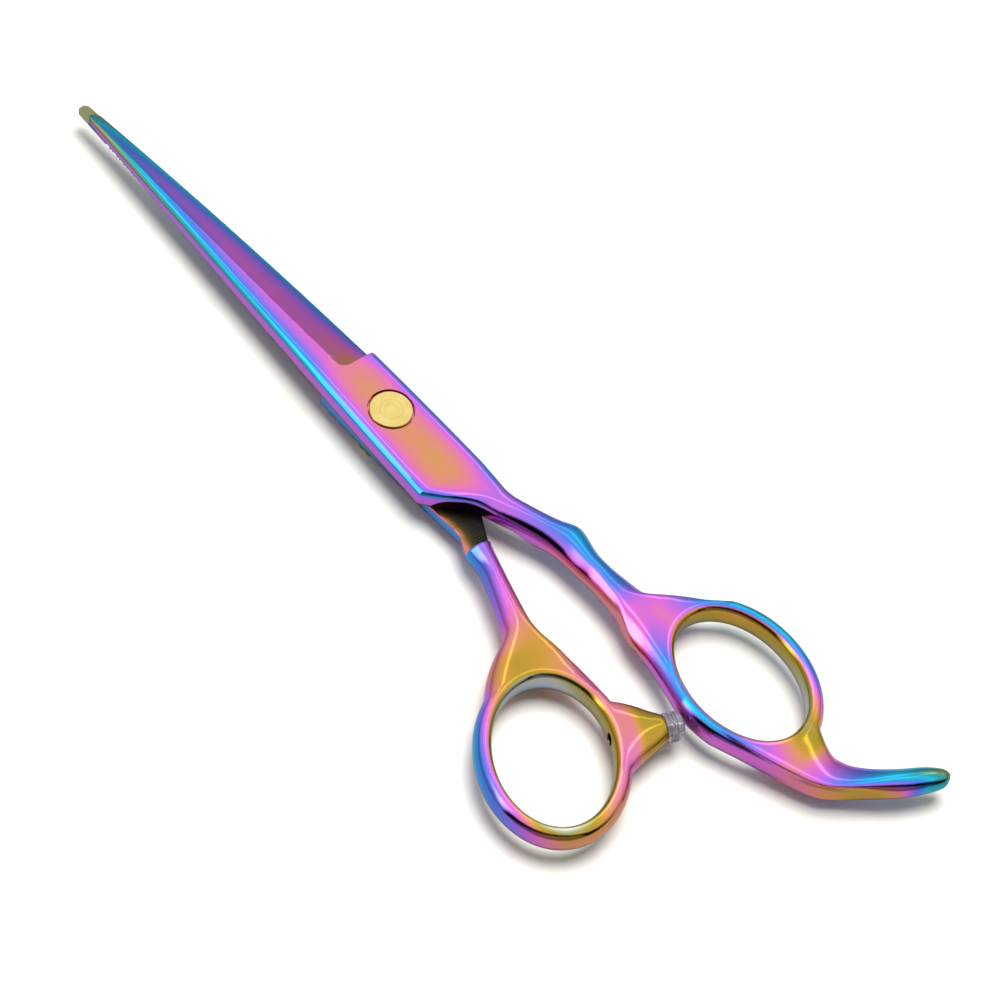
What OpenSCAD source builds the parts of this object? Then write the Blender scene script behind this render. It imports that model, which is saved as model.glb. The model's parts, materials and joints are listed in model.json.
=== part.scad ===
// Hair thinning shears: a plain upper half with a finger ring and a curved finger rest, a comb-bladed
// lower half with a thumb ring and a stop bumper, and an adjustable pivot between them.
// +X runs from the pivot to the rings, +Y towards the finger ring, +Z to the face with the flush
// pivot head. The origin is on the pivot axis, in the plane of the tension dial's outer face.
// The shears are shown closed.

/* [Blades] */
// Pivot axis to the tip of the plain blade
blade_l = 72.4; // [60:0.1:80]
// Extra reach of the comb blade past the plain one
comb_reach = 2.6; // [0.5:0.1:4]
// Pivot axis to the heel of each blade
heel_x = 10.2; // [9:0.1:14]
// Pivot axis to the cutting edge at the heel, measured across
heel_edge_y = 4.7; // [4:0.1:6]
// Pivot axis to the cutting edge at the tip, measured across
tip_edge_y = -3.1; // [-4:0.1:-1]
// Pivot axis to the spine at the tip, measured across
tip_spine_y = -5.3; // [-7:0.1:-4.6]
// How far the cutting edge bows outwards
edge_bow = 0.5; // [0:0.1:1.2]
// Blade thickness at the tip
tip_t = 0.8; // [0.6:0.1:1.4]
// How much narrower the comb blade is than the plain one
comb_inset = 0.9; // [0.6:0.1:1.2]
// Thickness left at the cutting edge
edge_t = 0.2; // [0.1:0.05:0.4]
// Width of the flat land along the spine, at the heel
land_heel_w = 4.4; // [3:0.1:5]
// Width of the flat land along the spine, at the tip
land_tip_w = 0.5; // [0.3:0.1:1]
// Radius at the run-out of the ground face
runout_r = 2; // [1:0.1:3]

/* [Comb teeth] */
// Number of slots between the teeth
slot_count = 29; // [10:1:30]
// Distance from tooth to tooth
tooth_pitch = 1.9; // [1.6:0.05:2]
// Width of each slot
slot_w = 1; // [0.6:0.05:1.2]
// Solid strip left along the spine
web_w = 2.2; // [1.2:0.1:2.6]
// Depth of the hair notch in each tooth's tip
notch_d = 0.45; // [0.2:0.05:0.8]

/* [Pivot block] */
// Thickness of each half at the pivot
body_t = 3; // [2.6:0.1:4]
// Gap between the two halves
blade_gap = 0.1; // [0.06:0.02:0.2]
// Pivot axis to the long side of the block that carries the spine
body_back_y = 6; // [5.5:0.1:7]
// Pivot axis to the other long side, at the tail
body_front_y = 6.35; // [5.5:0.1:7]
// Pivot axis to the corner where the block ends
body_tail_x = 14.5; // [12:0.1:17]
// Radius of the rounded long edges
edge_r = 1.2; // [0.4:0.1:1.4]
// Rise of the slightly domed face
crown_h = 0.16; // [0:0.02:0.3]
// Angle between the two halves when closed
closed_angle = 6.6; // [5:0.1:8]
// Radius of the flat that one half sweeps over the other
relief_r = 26.6; // [25:0.1:28]
// Length of the slope where the finger half's underside drops to the shank
relief_slope = 7; // [3:0.5:9]

/* [Handles] */
// Thickness of both handles
handle_t = 4.4; // [3.8:0.1:5]
// Width of the shanks at their waist
shank_w = 4; // [3.4:0.1:4.8]
// Width of the ring walls
ring_w = 2.9; // [2.4:0.1:3.4]
// Thickness of the ring walls
ring_t = 4.4; // [3.6:0.1:5]

/* [Finger ring] */
// Pivot axis to the ring's centre, along the shears
finger_x = 66; // [62:0.1:70]
// Pivot axis to the ring's centre, across the shears
finger_y = 15.5; // [15:0.1:19]
// Long half-width of the finger hole
finger_a = 12; // [10:0.1:13]
// Short half-width of the finger hole
finger_b = 8.5; // [8:0.1:11]
// Turn of the finger hole's long axis
finger_tilt = -2; // [-8:1:8]
// Length of the finger rest past the ring
rest_l = 24; // [18:0.5:28]

/* [Thumb ring] */
// Pivot axis to the ring's centre, along the shears
thumb_x = 60.6; // [56:0.1:63]
// Pivot axis to the ring's centre, across the shears
thumb_y = -16.3; // [-18:0.1:-14]
// Long half-width of the thumb hole
thumb_a = 12.4; // [11:0.1:15]
// Short half-width of the thumb hole
thumb_b = 9; // [8:0.1:11]
// Turn of the thumb hole's long axis
thumb_tilt = -32; // [-45:1:-25]

/* [Stop bumper] */
// Diameter of the bumper
bumper_d = 4.6; // [4:0.1:5]
// Rounding of the bumper's free end
bumper_round = 1.3; // [0.6:0.1:1.8]
// Distance from the bumper's end to the finger ring's straight edge line when closed
bumper_gap = 0.8; // [0.45:0.05:1.2]
// Diameter of the bumper's threaded stud
stud_d = 2; // [1.6:0.1:2.4]
// Length of the stud inside the bumper
stud_reach = 2.4; // [1.5:0.1:2.6]
// Length of the stud inside the lug
stud_hold = 3.2; // [2:0.1:4]
// Place of the lug's end along the shears, from the thumb ring's centre
lug_dx = 5.5; // [4:0.1:6.5]
// Place of the lug's end across the shears, from the thumb ring's centre
lug_dy = 16.9; // [15.5:0.1:17.5]
// Width of the lug at its end
lug_w = 4.4; // [3.4:0.1:4.6]
// Lean of the bumper's axis from straight across
bumper_lean = 21; // [10:1:24]

/* [Pivot] */
// Diameter of the flush head
head_d = 6.8; // [6:0.1:7.4]
// Thickness of the head
head_t = 1.1; // [0.8:0.1:1.4]
// Gap round the head
head_gap = 0.3; // [0.15:0.05:0.5]
// Diameter of the pivot screw's plain shoulder
shoulder_d = 4.4; // [3.6:0.1:4.6]
// Diameter of the pivot screw's threaded end
thread_d = 3; // [2.6:0.1:3.4]
// Radial clearance of turning fits
fit = 0.04; // [0.02:0.01:0.08]
// Gap left where flat faces bear on each other
seat_gap = 0.02; // [0.01:0.01:0.04]
// Wall of the nylon bush
bush_wall = 0.6; // [0.4:0.1:0.8]
// Diameter of the glide washer between the halves
glide_d = 8.6; // [7.6:0.1:9]
// Depth of the glide washer's seat in each half
glide_seat = 0.25; // [0.15:0.05:0.4]
// Diameter of the spring washer and of the plain washer on it
washer_d = 8; // [7:0.1:8.6]
// Depth of the washers' seat in the thumb half
washer_seat = 0.7; // [0.5:0.05:0.9]
// Thickness of the plain washer
washer_t = 0.35; // [0.25:0.05:0.45]
// Thickness of the spring washer's metal
spring_t = 0.3; // [0.2:0.05:0.35]
// Diameter of the tension dial
dial_d = 8.6; // [7.6:0.1:10]
// Thickness of the tension dial
dial_t = 1.6; // [1.4:0.1:2.6]
// Gap between the dial and the thumb half
dial_gap = 0.3; // [0.2:0.05:0.4]
// Face left over the end of the dial's thread
dial_face = 0.5; // [0.4:0.1:0.8]
// Number of grip notches round the dial
dial_notches = 16; // [8:1:24]
// Radius of a grip notch
notch_r = 0.5; // [0.3:0.05:0.6]

/* [Hidden] */

// Strips across a bar's top, and steps in a quarter of its side
top_n = 10;
side_n = 4;

body_hz = body_t + blade_gap / 2;
handle_hz = handle_t / 2;
parting_z = dial_t + dial_gap + body_hz;
seat_z = dial_t + dial_gap + washer_seat;
glide_hz = blade_gap / 2 + glide_seat;
bush_d = shoulder_d + 2 * (fit + bush_wall);
loose_fit = 2 * fit;
finger_ring = [finger_x, finger_y, finger_a, finger_b, finger_tilt];
thumb_ring = [thumb_x, thumb_y, thumb_a, thumb_b, thumb_tilt];

// ---- numbers -----------------------------------------------------------------------------------

function mix(a, b, t) = a * (1 - t) + b * t;
function ease(t) = let(c = min(max(t, 0), 1)) c * c * (3 - 2 * c);
function turned(p, a) = [p.x * cos(a) - p.y * sin(a), p.x * sin(a) + p.y * cos(a)];
function snap(p) = [for (c = p) round(c * 1e5) / 1e5];

// Smooth curve through rows of numbers, at place u counted in rows
function through(rows, u) =
    let(n = len(rows) - 1, i = min(floor(u), n - 1), t = u - i)
    let(b = rows[i], c = rows[i + 1])
    let(a = i > 0 ? rows[i - 1] : 2 * b - c, d = i + 2 <= n ? rows[i + 2] : 2 * c - b)
    (2 * b + (c - a) * t + (2 * a - 5 * b + 4 * c - d) * t * t + (3 * b - a - 3 * c + d) * t * t * t) / 2;

// ---- sections ----------------------------------------------------------------------------------
// A section is a closed run of [across, up] pairs in -1..1, from the upper edge (+1) over the top to
// the lower edge (-1), and back underneath. Its quarter holds the points from the top strip's end
// down to the middle of the side.

function quarter_box(rx, rz) = [
    for (i = [0:side_n])
        let(a = 90 * i / (side_n - 1))
        i < side_n ? [1 - rx + rx * sin(a), 1 - rz + rz * cos(a)] : [1, 0]
];
function top_box(rx) = [for (j = [0:top_n]) [(1 - rx) * (1 - 2 * j / top_n), 1]];

shoulder_a = 42;
function quarter_oval() = [
    for (i = [0:side_n]) let(a = shoulder_a * (1 - i / side_n)) [cos(a), sin(a)]
];
function top_oval() = [
    for (j = [0:top_n]) let(a = mix(shoulder_a, 180 - shoulder_a, j / top_n)) [cos(a), sin(a)]
];
function section(top, quarter) = concat(
    top,
    [for (i = [1:side_n]) [-quarter[i][0], quarter[i][1]]],
    [for (i = [side_n - 1:-1:1]) [-quarter[i][0], -quarter[i][1]]],
    [for (j = [top_n:-1:0]) [top[j][0], -top[j][1]]],
    [for (i = [1:side_n]) [quarter[i][0], -quarter[i][1]]],
    [for (i = [side_n - 1:-1:1]) [quarter[i][0], quarter[i][1]]]
);

// A bar row is [upper x, upper y, lower x, lower y, half thickness, roundness, crown]
function bar_section(row) =
    let(upper = [row[0], row[1]], lower = [row[2], row[3]], half_w = norm(upper - lower) / 2)
    let(r = edge_r * min(1, row[4] / body_hz), rx = min(r / half_w, 0.5), rz = min(r / row[4], 0.9))
    let(box = section(top_box(rx), quarter_box(rx, rz)))
    let(oval = section(top_oval(), quarter_oval()))
    [
        for (i = [0:len(box) - 1])
            let(p = mix(box[i], oval[i], row[5]))
            let(dome = row[6] * p.x * p.x * sign(p.y) * min(1, abs(p.y) * 2))
            let(xy = (upper + lower) / 2 + (upper - lower) / 2 * p.x)
            snap([xy.x, xy.y, row[4] * p.y - dome])
    ];

// ---- rings -------------------------------------------------------------------------------------
// Ring: [centre x, centre y, hole half-length, hole half-width, tilt]. Turn t runs round the ring,
// phi round its wall: 0 faces the hole, 90 is the top crest, 180 the outside, 270 the bottom crest.

// Cosine or sine made fuller, so that the wall facing the hole is nearly upright
function fuller(c, power) = sign(c) * pow(abs(c), power);
function ring_point(ring, t, phi) =
    let(power = cos(phi) > 0 ? 0.7 : 1)
    let(out = ring_w * (1 - fuller(cos(phi), power)) / 2)
    let(p = turned([(ring[2] + out) * cos(t), (ring[3] + out) * sin(t)], ring[4]))
    snap([ring[0] + p.x, ring[1] + p.y, ring_t / 2 * fuller(sin(phi), power)]);

function ring_arc(ring, t0, t1, steps) = [
    for (j = [0:steps]) [for (i = [0:4 * side_n]) ring_point(ring, mix(t0, t1, j / steps), 90 * i / side_n)]
];
// The half of the wall that faces the hole, where something joins the outside
function ring_port(ring, t0, t1) = [
    for (j = [0:top_n])
        [for (i = [-side_n:side_n]) ring_point(ring, mix(t0, t1, j / top_n), 90 * i / side_n)]
];
// The closed edge that the port leaves open, in the order of a bar's section
function port_edge(ring, t_upper, t_lower) = concat(
    [for (j = [0:top_n]) ring_point(ring, mix(t_upper, t_lower, j / top_n), 90)],
    [for (i = [1:2 * side_n - 1]) ring_point(ring, t_lower, 90 + 90 * i / side_n)],
    [for (j = [top_n:-1:0]) ring_point(ring, mix(t_upper, t_lower, j / top_n), 270)],
    [for (i = [1:2 * side_n - 1]) ring_point(ring, t_upper, 270 - 90 * i / side_n)]
);
function ring_edge(ring, t) = let(p = ring_point(ring, t, 180)) [p.x, p.y];

// ---- skins -------------------------------------------------------------------------------------
// A skin is a list of patches, [rows of points, flipped]. Neighbouring patches share edge points.

function closed_row(row) = concat(row, [row[0]]);
function patch_faces(patch, first) =
    let(cols = len(patch[0][0]))
    [
        for (r = [0:len(patch[0]) - 2], c = [0:cols - 2])
            let(a = first + r * cols + c)
            patch[1] ? [a, a + 1, a + cols + 1, a + cols] : [a, a + cols, a + cols + 1, a + 1]
    ];
function patch_size(patch) = len(patch[0]) * len(patch[0][0]);
function first_of(patches, k) = k == 0 ? 0 : first_of(patches, k - 1) + patch_size(patches[k - 1]);

// patches sewn into a solid, with a fan of faces over each closed run of points in ends
module skin(patches, ends) {
    body = [for (patch = patches, row = patch[0], p = row) p];
    cap_n = len(ends[0]);
    caps = [for (end = ends) each concat(end, [snap(mix(end[0], end[cap_n / 2], 0.5))])];
    polyhedron(
        points = concat(body, caps),
        faces = concat(
            [for (k = [0:len(patches) - 1]) each patch_faces(patches[k], first_of(patches, k))],
            [
                for (k = [0:len(ends) - 1], i = [0:cap_n - 1])
                    let(first = len(body) + k * (cap_n + 1))
                    [first + cap_n, first + i, first + (i + 1) % cap_n]
            ]
        ),
        convexity = 8
    );
}
function cap(row, flipped) =
    let(n = len(row) - 1) flipped ? [for (i = [0:n - 1]) row[i]] : [for (i = [n - 1:-1:0]) row[i]];

// ---- blades and pivot block --------------------------------------------------------------------
// In the finger half's own frame: cutting edge up, spine down.

// Blade: [reach past the plain blade's tip, how far its edge is set in]

function along(x, blade) = max(0, (-x - heel_x) / (blade_l + blade[0] - heel_x));
function edge_y(x, blade) =
    let(t = along(x, blade))
    mix(heel_edge_y, tip_edge_y, t) + 4 * edge_bow * t * (1 - t) - blade[1] * (1 - pow(t, 4));
function spine_y(x, blade) = mix(-body_back_y, tip_spine_y, along(x, blade));
function land_y(x, blade) =
    let(t = along(x, blade)) spine_y(x, blade) + mix(land_heel_w, land_tip_w, pow(t, 0.85));
function blade_hz(x, blade) = blade_gap / 2 + mix(body_t, tip_t, along(x, blade));

function blade_rows(blade) =
    let(tip = -blade_l - blade[0])
    concat(
        [[tip, edge_y(tip, blade) - 0.6, tip, spine_y(tip, blade) + 0.5, blade_hz(tip, blade), 0, 0]],
        [
            for (f = [0.99, 0.94, 0.86, 0.76, 0.66, 0.56, 0.46, 0.36, 0.26])
                let(x = tip * f)
                [x, edge_y(x, blade), x, spine_y(x, blade), blade_hz(x, blade), 0, crown_h / 4]
        ]
    );
function body_rows(blade) = [
    [-heel_x - 2.6, edge_y(-heel_x - 2.6, blade), -heel_x - 2.6, -body_back_y, body_hz - 0.1, 0, crown_h],
    [-heel_x + 0.3, heel_edge_y + 0.1, -heel_x + 0.3, -body_back_y, body_hz, 0, crown_h],
    [0, (heel_edge_y + body_front_y) / 2, 0, -body_back_y, body_hz, 0, crown_h],
    [body_tail_x, body_front_y, body_tail_x, -body_back_y + 0.2, body_hz, 0, crown_h],
];
function tail_rows() = [
    [body_tail_x + 4, body_front_y, body_tail_x + 2.6, -3.3, body_hz, 0.05, crown_h],
    [body_tail_x + 7.4, body_front_y + 0.1, body_tail_x + 6, 0.4, body_hz - 0.05, 0.15, crown_h / 2],
];

// Bar rows seen in the thumb half: mirrored across X and turned by the closed angle
function mirrored(rows) = [
    for (r = rows)
        let(upper = turned([r[2], -r[3]], closed_angle), lower = turned([r[0], -r[1]], closed_angle))
        [upper.x, upper.y, lower.x, lower.y, r[4], r[5], r[6]]
];

// Shank rows: [place along the line from a to b, sideways offset, width, lean, half thickness, roundness]
function shank_rows(a, b, rows) =
    let(d = (b - a) / norm(b - a), side = [-d.y, d.x])
    [
        for (r = rows)
            let(c = a + (b - a) * r[0] + side * r[1], w = [cos(r[3]), sin(r[3])] * r[2] / 2)
            [c.x + w.x, c.y + w.y, c.x - w.x, c.y - w.y, r[4], r[5], 0]
    ];

// Rows over which a bar's sections take the ring's bow
bow_rows = 5.5;
// A bar that runs through rows and ends in a ring's port. Its sections bow outwards with the ring as
// they come near it.
function bar_to_port(rows, ring, t_upper, t_lower, steps, blend) =
    let(u = ring_edge(ring, t_upper), l = ring_edge(ring, t_lower))
    let(all = concat(rows, [[u.x, u.y, l.x, l.y, ring_t / 2, 1, 0]]), n = len(all) - 1)
    let(bow = ring_edge(ring, (t_upper + t_lower) / 2) - (u + l) / 2)
    let(port = port_edge(ring, t_upper, t_lower), across = section(top_oval(), quarter_oval()))
    [
        for (k = [0:n * steps])
            let(free = bar_section(through(all, k / steps)), left = n - k / steps)
            let(w = ease(1 - left / blend), bend = bow * ease(1 - left / min(n, bow_rows)) * (1 - w))
            closed_row([
                for (i = [0:len(free) - 1])
                    let(b = bend * (1 - pow(across[i].x, 2)))
                    snap(mix(free[i], port[i], w) + [b.x, b.y, 0])
            ])
    ];
function straight_rows(rows) = [for (r = rows) closed_row(bar_section(r))];

// ---- finger half -------------------------------------------------------------------------------

finger_port = [140, 266];
rest_port = [25, -66];
plain_blade = [0, 0];
comb_blade = [comb_reach, comb_inset];
finger_shank = shank_rows(
    [body_tail_x, 0],
    [finger_x - finger_a - ring_w / 2, finger_y],
    [
        [0.281, 0.86, shank_w * 1.415, 81.0, handle_hz * 1.3, 0.35],
        [0.405, 1.35, shank_w * 1.366, 90.3, handle_hz * 1.15, 0.7],
        [0.495, 1.65, shank_w * 1.558, 99.9, handle_hz * 1.07, 0.9],
        [0.593, -0.09, shank_w * 1.288, 104.3, handle_hz, 1],
        [0.655, -0.95, shank_w * 1.190, 98.9, handle_hz, 1],
        [0.725, -1.78, shank_w * 1.289, 93.5, handle_hz, 1],
        [0.844, -3.12, shank_w * 1.678, 92.0, handle_hz, 1],
        [0.944, -3.47, shank_w * 2.853, 93.8, handle_hz, 1],
        [1.027, -3.47, shank_w * 3.628, 106.2, handle_hz, 1],
    ]
);
function rest_rows() =
    let(tip = [finger_x + finger_a + ring_w + rest_l * 0.68, finger_y + rest_l * 0.65])
    [
        [tip.x - 1.2, tip.y + 0.3, tip.x - 0.2, tip.y - 0.5, 1, 1, 0],
        [tip.x - 2.4, tip.y - 0.2, tip.x + 0.1, tip.y - 1.7, 1.7, 1, 0],
        [tip.x - 4.2, tip.y - 2.4, tip.x - 0.7, tip.y - 4.5, 2, 1, 0],
        [tip.x - 6, tip.y - 5.6, tip.x - 2.3, tip.y - 8.2, 2.1, 1, 0],
        [tip.x - 8.2, tip.y - 8.8, tip.x - 4.9, tip.y - 12, 2.1, 1, 0],
        [tip.x - 10.5, tip.y - 11.2, tip.x - 8, tip.y - 15.6, 2.1, 1, 0],
        [tip.x - 12.6, tip.y - 12.3, tip.x - 11.4, tip.y - 18.7, 2.1, 1, 0],
        [tip.x - 14, tip.y - 12.6, tip.x - 15.4, tip.y - 21.3, 2.1, 1, 0],
    ];

module finger_blank() {
    head = straight_rows(concat(blade_rows(plain_blade), body_rows(plain_blade)));
    tail = bar_to_port(
        concat([body_rows(plain_blade)[3]], tail_rows(), finger_shank),
        finger_ring, finger_port[0], finger_port[1], 3, 1.6
    );
    rest = bar_to_port(rest_rows(), finger_ring, rest_port[0], rest_port[1], 3, 2);
    skin(
        [
            [head, false],
            [tail, false],
            [ring_port(finger_ring, finger_port[0], finger_port[1]), false],
            [ring_arc(finger_ring, finger_port[1], rest_port[1] + 360, 6), false],
            [ring_port(finger_ring, rest_port[1], rest_port[0]), false],
            [ring_arc(finger_ring, rest_port[0], finger_port[0], 14), false],
            [rest, true],
        ],
        [cap(head[0], true), cap(rest[0], false)]
    );
}

// ---- thumb half --------------------------------------------------------------------------------

thumb_port = [133, 231];
lug_port = [124, 78];
lug_end = [thumb_x + lug_dx, thumb_y + lug_dy];
thumb_shank = shank_rows(
    [body_tail_x, 0],
    [thumb_x, thumb_y] - turned([thumb_a + ring_w / 2, 0], thumb_tilt),
    [
        [0.332, -0.10, shank_w * 1.079, 84.1, handle_hz * 1.1, 0.6],
        [0.440, 0.20, shank_w * 0.930, 87.0, handle_hz, 1],
        [0.559, 0.08, shank_w * 0.972, 78.1, handle_hz, 1],
        [0.673, -0.07, shank_w * 1.079, 70.9, handle_hz, 1],
        [0.786, -0.32, shank_w * 1.330, 64.2, handle_hz, 1],
        [0.884, -0.60, shank_w * 2.218, 55.5, handle_hz, 1],
        [0.972, -0.91, shank_w * 3.465, 58.0, handle_hz, 1],
    ]
);
function lug_rows() =
    let(across = [cos(-bumper_lean), sin(-bumper_lean)], out = [-across.y, across.x])
    [
        for (r = [[0, 0, 0, 0.9], [-0.6, 0.3, 0.3, 1], [-2, 1.2, 1.1, 1], [-3.8, 2.8, 1.9, 1]])
            let(c = lug_end + out * r[0])
            let(u = c - across * (lug_w / 2 + r[1]), l = c + across * (lug_w / 2 + r[2]))
            [u.x, u.y, l.x, l.y, handle_hz * r[3], 1, 0]
    ];

module thumb_blank() {
    head = straight_rows(mirrored(concat(blade_rows(comb_blade), body_rows(comb_blade))));
    tail = bar_to_port(
        concat([mirrored(body_rows(comb_blade))[3]], mirrored(tail_rows()), thumb_shank),
        thumb_ring, thumb_port[0], thumb_port[1], 3, 1.6
    );
    lug = bar_to_port(lug_rows(), thumb_ring, lug_port[0], lug_port[1], 2, 2);
    skin(
        [
            [head, false],
            [tail, false],
            [ring_port(thumb_ring, thumb_port[0], thumb_port[1]), false],
            [ring_arc(thumb_ring, thumb_port[1], lug_port[1] + 360, 22), false],
            [ring_port(thumb_ring, lug_port[1], lug_port[0]), false],
            [ring_arc(thumb_ring, lug_port[0], thumb_port[0], 2), false],
            [lug, true],
        ],
        [cap(head[0], true), cap(lug[0], false)]
    );
}

// ---- cutters, in the finger half's frame --------------------------------------------------------

// Everything on the far side of the parting plane that the other half sweeps over. The swept flat
// ends in a wall that slopes out over a given length.
module relief(slope) {
    depth = 2 * body_hz;
    translate([0, 0, blade_gap / 2 - depth])
        cylinder(r1 = relief_r + slope * depth / handle_hz, r2 = relief_r, h = depth, $fn = 96);
    translate([-blade_l - 20, -20, blade_gap / 2 - depth]) cube([blade_l + 20, 40, depth]);
}

// The face ground from the land down to the cutting edge, ending in a round run-out at the heel
module ground_face(blade) {
    function ground_row(x) =
        let(edge = [edge_y(x, blade), blade_gap / 2 + edge_t])
        let(land = [land_y(x, blade), blade_hz(x, blade) - crown_h / 4])
        let(low = mix(edge, land, -0.5), high = mix(edge, land, 1.6), top = 2 * body_hz)
        closed_row([snap([x, low.x, low.y]), snap([x, high.x, high.y]), [x, high.x, top], [x, low.x, top]]);
    first = -blade_l - blade[0] - 2;
    last = -heel_x + 1;
    rows = [for (k = [0:14]) ground_row(mix(first, last, k / 14))];
    corner = [-heel_x - runout_r, land_y(-heel_x, blade) + runout_r - 0.4];
    intersection() {
        skin([[rows, true]], [cap(rows[0], false), cap(rows[14], true)]);
        linear_extrude(2 * body_hz + 1) {
            translate([first - 1, corner.y]) square([-heel_x - first + 1, 30]);
            translate([first - 1, -30]) square([corner.x - first + 1, 60]);
            translate(corner) circle(r = runout_r, $fn = 48);
        }
    }
}

// The slots between the comb's teeth, and the notch in each tooth's tip
module comb_slots(blade) {
    translate([0, 0, -1]) linear_extrude(2 * body_hz) {
        for (k = [0:slot_count - 1]) {
            x = -heel_x - runout_r - 1.2 - k * tooth_pitch;
            bottom = spine_y(x, blade) + mix(web_w, 0.55 * web_w, along(x, blade)) + slot_w / 2;
            translate([x - slot_w / 2, bottom]) square([slot_w, 20]);
            translate([x, bottom]) circle(d = slot_w, $fn = 24);
        }
        for (k = [0:slot_count - 2]) {
            x = -heel_x - runout_r - 1.2 - (k + 0.5) * tooth_pitch;
            half = (tooth_pitch - slot_w) * 0.3;
            tip = edge_y(x, blade);
            polygon([[x, tip - notch_d], [x + 2 * half, tip + notch_d], [x - 2 * half, tip + notch_d]]);
        }
    }
}

// ---- sub-parts ---------------------------------------------------------------------------------
// The halves are drawn about the parting plane, and the pivot's pieces up from the dial's outer face.

module finger_half() color("mediumorchid") translate([0, 0, parting_z]) {
    difference() {
        finger_blank();
        relief(relief_slope);
        ground_face(plain_blade);
        cylinder(d = shoulder_d + 2 * fit, h = 3 * body_hz, center = true, $fn = 64);
        translate([0, 0, body_hz - head_t]) cylinder(d = head_d + 2 * head_gap, h = body_hz, $fn = 96);
        cylinder(d = glide_d + 2 * fit, h = 2 * glide_hz, center = true, $fn = 96);
    }
}

module in_thumb_frame() {
    rotate([0, 0, closed_angle]) mirror([0, 1, 0]) mirror([0, 0, 1]) children();
}
// Places things on the bumper's axis, a given way out from the lug's end
module along_bumper(out) {
    translate([lug_end.x, lug_end.y, parting_z])
        rotate([0, 0, -bumper_lean]) translate([0, out, 0]) rotate([-90, 0, 0]) children();
}
module thumb_half() color("goldenrod") {
    difference() {
        translate([0, 0, parting_z]) difference() {
            thumb_blank();
            in_thumb_frame() relief(0);
            in_thumb_frame() ground_face(comb_blade);
            in_thumb_frame() comb_slots(comb_blade);
            cylinder(d = bush_d + 2 * fit, h = 3 * body_hz, center = true, $fn = 64);
            cylinder(d = glide_d + 2 * fit, h = 2 * glide_hz, center = true, $fn = 96);
        }
        translate([0, 0, seat_z - body_hz]) cylinder(d = washer_d + 2 * loose_fit, h = body_hz, $fn = 96);
        along_bumper(-thumb_b) cylinder(d = stud_d + 2 * fit, h = 2 * thumb_b, $fn = 48);
    }
}

// One turned piece: flush head, plain shoulder and threaded end
module pivot_screw() color("khaki") {
    top = parting_z + body_hz;
    under_head = top - head_t + seat_gap;
    translate([0, 0, under_head]) cylinder(d = head_d, h = top - under_head, $fn = 96);
    translate([0, 0, seat_z]) cylinder(d = shoulder_d, h = under_head - seat_z, $fn = 64);
    translate([0, 0, dial_face + seat_gap])
        cylinder(d = thread_d, h = seat_z - dial_face - seat_gap, $fn = 48);
}

module washer(outer, inner, height) {
    difference() {
        cylinder(d = outer, h = height, $fn = 96);
        translate([0, 0, -1]) cylinder(d = inner, h = height + 2, $fn = 64);
    }
}
module pivot_bush() color("ivory") {
    top = parting_z - glide_hz - seat_gap;
    translate([0, 0, seat_z + seat_gap]) washer(bush_d, shoulder_d + 2 * fit, top - seat_z - seat_gap);
}
module glide_washer() color("white") {
    translate([0, 0, parting_z - glide_hz + seat_gap])
        washer(glide_d, shoulder_d + 2 * fit, 2 * (glide_hz - seat_gap));
}
// A shallow cone that the dial presses flat
module spring_washer() color("silver") {
    low = dial_t + washer_t + 2 * seat_gap;
    high = seat_z - seat_gap;
    inner = thread_d / 2 + loose_fit;
    outer = washer_d / 2;
    rotate_extrude($fn = 96)
        polygon([[inner, high - spring_t], [inner, high], [outer, low + spring_t], [outer, low]]);
}
module plain_washer() color("gainsboro") {
    translate([0, 0, dial_t + seat_gap]) washer(washer_d, thread_d + 2 * loose_fit, washer_t);
}

// A round nut with a closed face and a notched rim, turned by finger to set the tension
module tension_dial() color("gold") {
    difference() {
        cylinder(d = dial_d, h = dial_t, $fn = 96);
        translate([0, 0, dial_face]) cylinder(d = thread_d + 2 * fit, h = dial_t, $fn = 48);
        for (k = [0:dial_notches - 1])
            rotate([0, 0, 360 * k / dial_notches])
                translate([(dial_d + notch_r) / 2, 0, -1])
                    cylinder(r = notch_r, h = dial_t + 2, $fn = 24);
    }
}

// A soft plug with a rounded end, screwed on the stud
module bumper() color("lightgray") {
    room = (finger_y - finger_b - ring_w - lug_end.y) / cos(bumper_lean);
    length = room - bumper_gap;
    r = bumper_d / 2;
    along_bumper(seat_gap) difference() {
        rotate_extrude($fn = 64) {
            square([r, length - bumper_round]);
            square([r - bumper_round, length]);
            translate([r - bumper_round, length - bumper_round]) intersection() {
                circle(r = bumper_round, $fn = 48);
                square(bumper_round);
            }
        }
        translate([0, 0, -1]) cylinder(d = stud_d + 2 * fit, h = 1 + stud_reach + seat_gap, $fn = 48);
    }
}
module bumper_stud() color("slategray") {
    along_bumper(-stud_hold) cylinder(d = stud_d, h = stud_hold + stud_reach, $fn = 48);
}

finger_half();
thumb_half();
pivot_screw();
pivot_bush();
glide_washer();
spring_washer();
plain_washer();
tension_dial();
bumper();
bumper_stud();
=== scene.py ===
"""Hair thinning shears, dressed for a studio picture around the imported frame.

The two steel halves carry a thin titanium film whose thickness, and so its colour, changes from
place to place. TintMap works out that thickness, as a number called film, at every point of a
half, and FilmSteel turns it into colour. Lengths are in millimetres up to the moment a mesh is made.
"""

from __future__ import annotations

import json
import logging
import math
from collections.abc import Callable
from dataclasses import dataclass
from enum import Enum

import bmesh
import bpy
import numpy as np
from mathutils import Matrix, Vector

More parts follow.
